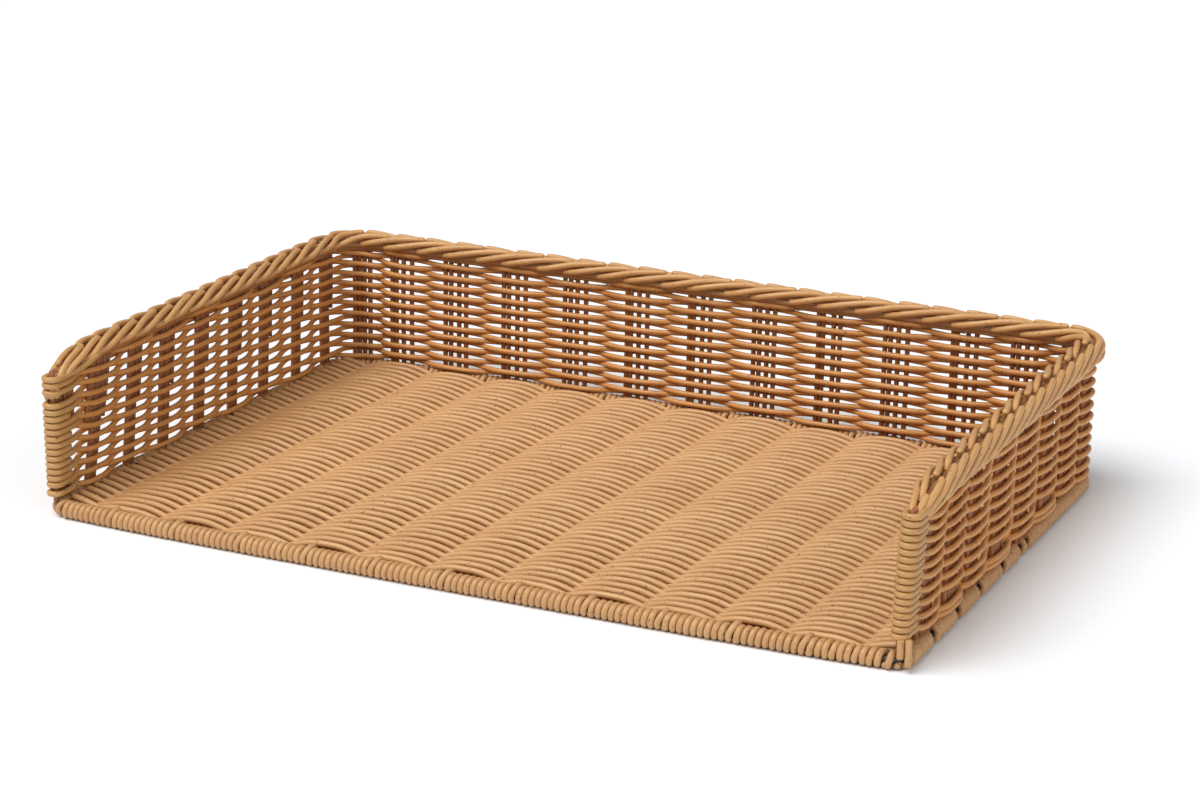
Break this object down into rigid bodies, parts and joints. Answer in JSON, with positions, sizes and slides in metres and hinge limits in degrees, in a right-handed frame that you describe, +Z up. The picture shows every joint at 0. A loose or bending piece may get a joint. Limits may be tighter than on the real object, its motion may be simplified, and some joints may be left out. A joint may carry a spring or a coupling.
{
  "type": "bread basket",
  "caption": "Shallow rectangular woven tray with low walls at the back and sides, a rolled braided rim and an open front, for displaying bread.",
  "frame": {"origin": "centre of the outside box, on the floor under the basket", "axes": "+X to the right along the width, +Y towards the back wall, so the open front faces -Y, +Z up"},
  "size_m": [0.614, 0.403, 0.11],
  "materials": {
    "rim_strand": "satin honey-tan synthetic rattan strand",
    "wall_strand": "satin honey-tan synthetic rattan strand",
    "base_strand": "satin honey-tan synthetic rattan strand",
    "border_strand": "satin honey-tan synthetic rattan strand",
    "rod": "satin brown synthetic rattan rod",
    "core_metal": "plain steel wire"
  },
  "bodies": {
    "root": {"core_ring": "core_metal", "border_wrap_front": "border_strand", "border_wrap_back": "border_strand", "border_wrap_left": "border_strand", "border_wrap_right": "border_strand", "border_corner_front_left": "border_strand", "border_corner_front_right": "border_strand", "border_corner_back_left": "border_strand", "border_corner_back_right": "border_strand", "base_rods": "rod", "base_rows": "base_strand", "wall_rods_back": "rod", "wall_rods_left": "rod", "wall_rods_right": "rod", "corner_rods_left": "rod", "corner_rods_right": "rod", "wall_rows_back": "wall_strand", "wall_rows_left": "wall_strand", "wall_rows_right": "wall_strand", "corner_rows_left": "wall_strand", "corner_rows_right": "wall_strand", "post_rods_left": "rod", "post_rods_right": "rod", "post_wraps_left": "wall_strand", "post_wraps_right": "wall_strand", "rim_back": "rim_strand", "rim_left": "rim_strand", "rim_right": "rim_strand", "rim_corner_left": "rim_strand", "rim_corner_right": "rim_strand", "rim_end_left": "rim_strand", "rim_end_right": "rim_strand"}
  },
  "joints": []
}
